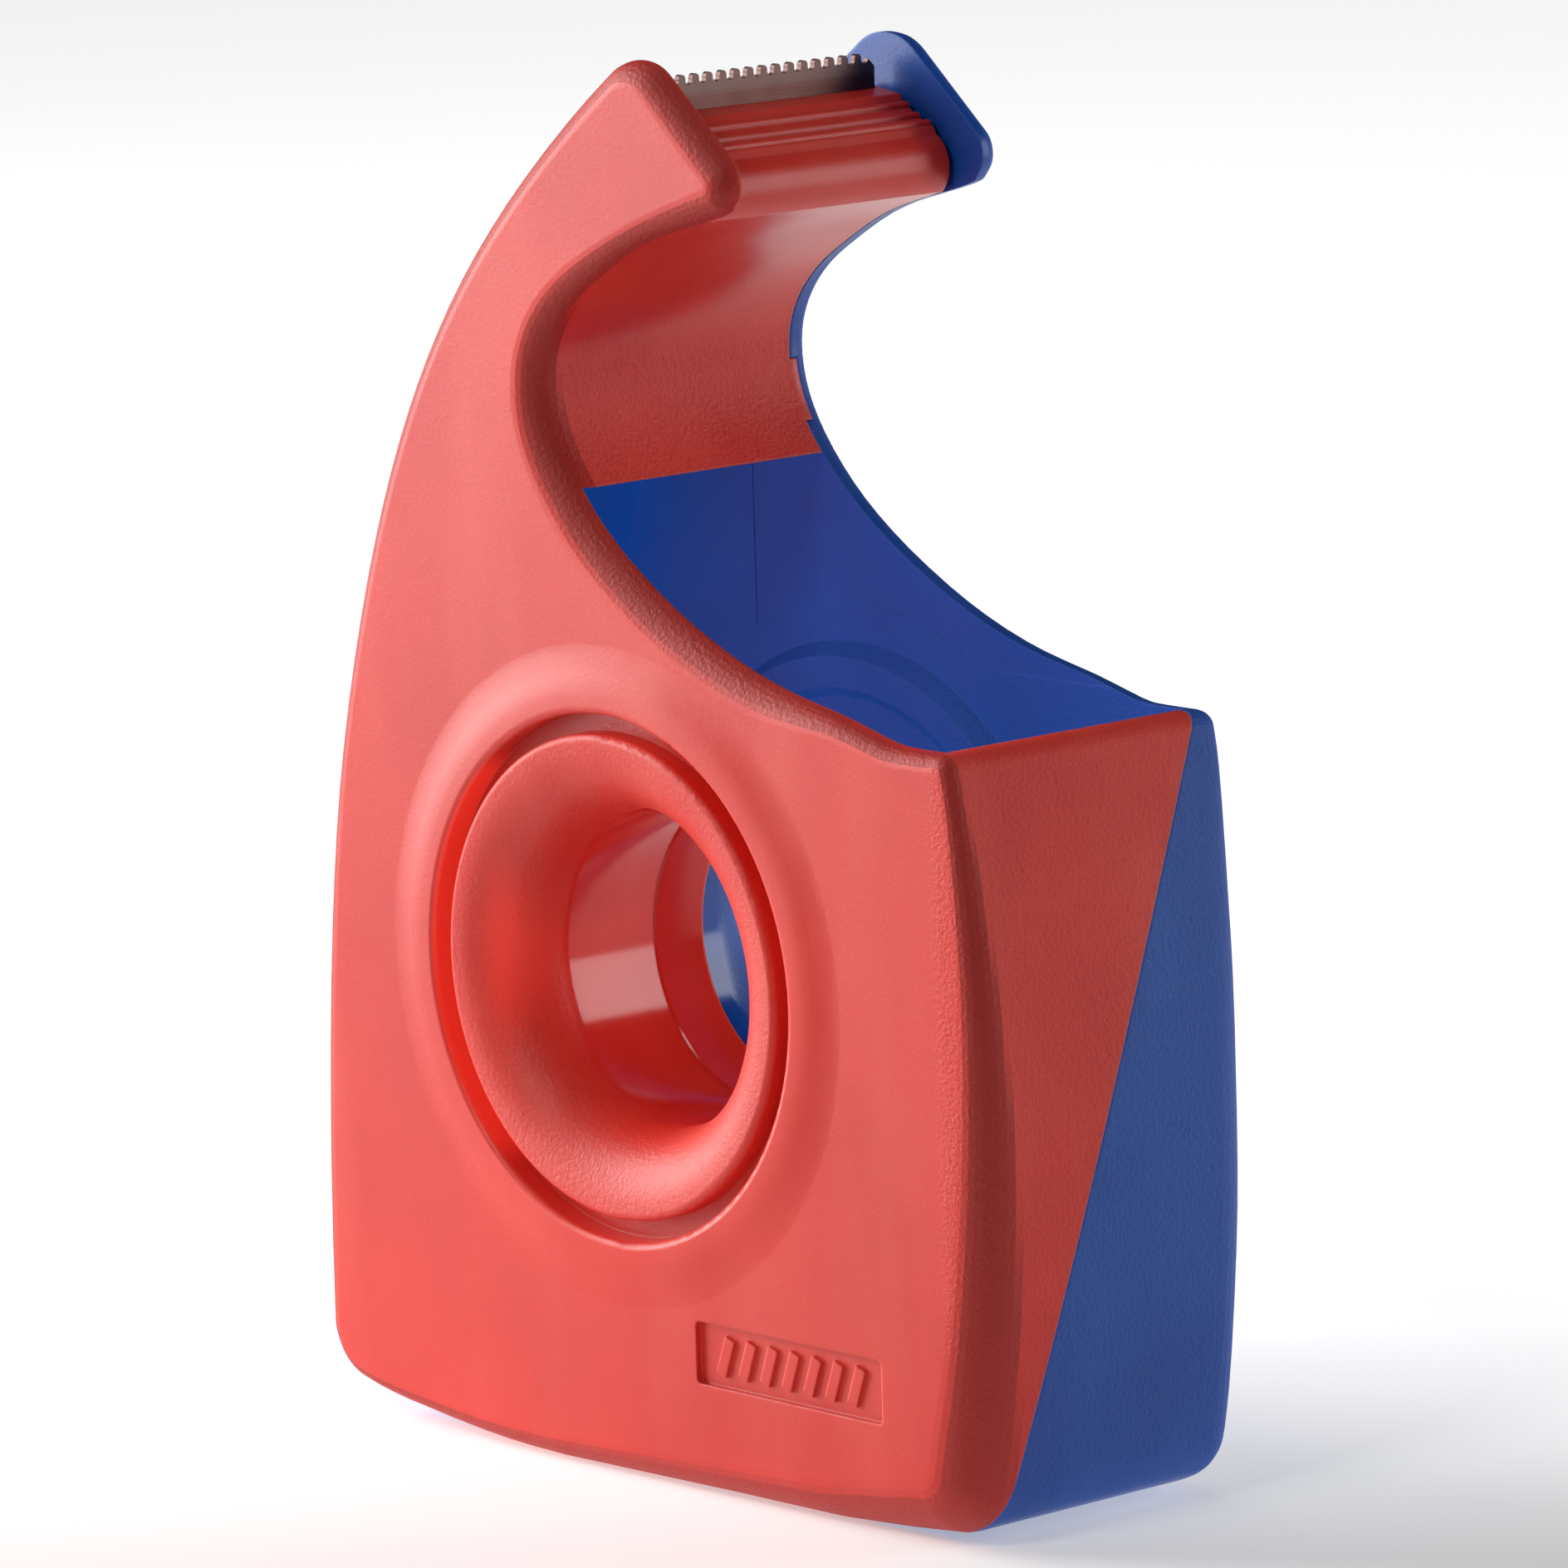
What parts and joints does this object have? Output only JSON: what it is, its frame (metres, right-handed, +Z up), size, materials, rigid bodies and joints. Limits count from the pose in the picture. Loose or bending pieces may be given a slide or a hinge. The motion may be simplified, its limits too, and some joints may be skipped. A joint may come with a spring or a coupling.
{
  "type": "tape dispenser",
  "caption": "Hand-held dispenser for household adhesive tape: two snap-together half shells with a hub, a curved finger saddle and a toothed cutter.",
  "frame": {"origin": "bottom centre of the bounding box, on the surface that the dispenser stands on", "axes": "+X towards the flat front wall, +Y across the tape from the red side to the blue side, +Z up to the cutter"},
  "size_m": [0.0726, 0.0278, 0.1031],
  "materials": {
    "red_plastic": "satin moulding, fine grain on the front, polished in the bore",
    "blue_plastic": "satin moulding, fine grain on the front",
    "steel": "rolled strip"
  },
  "bodies": {
    "red_half": {"red_half_shell": "red_plastic", "cutter_blade": "steel"},
    "blue_half": {"blue_half_shell": "blue_plastic"}
  },
  "joints": [
    {"name": "half_pull", "type": "slide", "parent": "red_half", "child": "blue_half", "axis": [0, 1, 0], "range_m": [0, 0.03]}
  ]
}
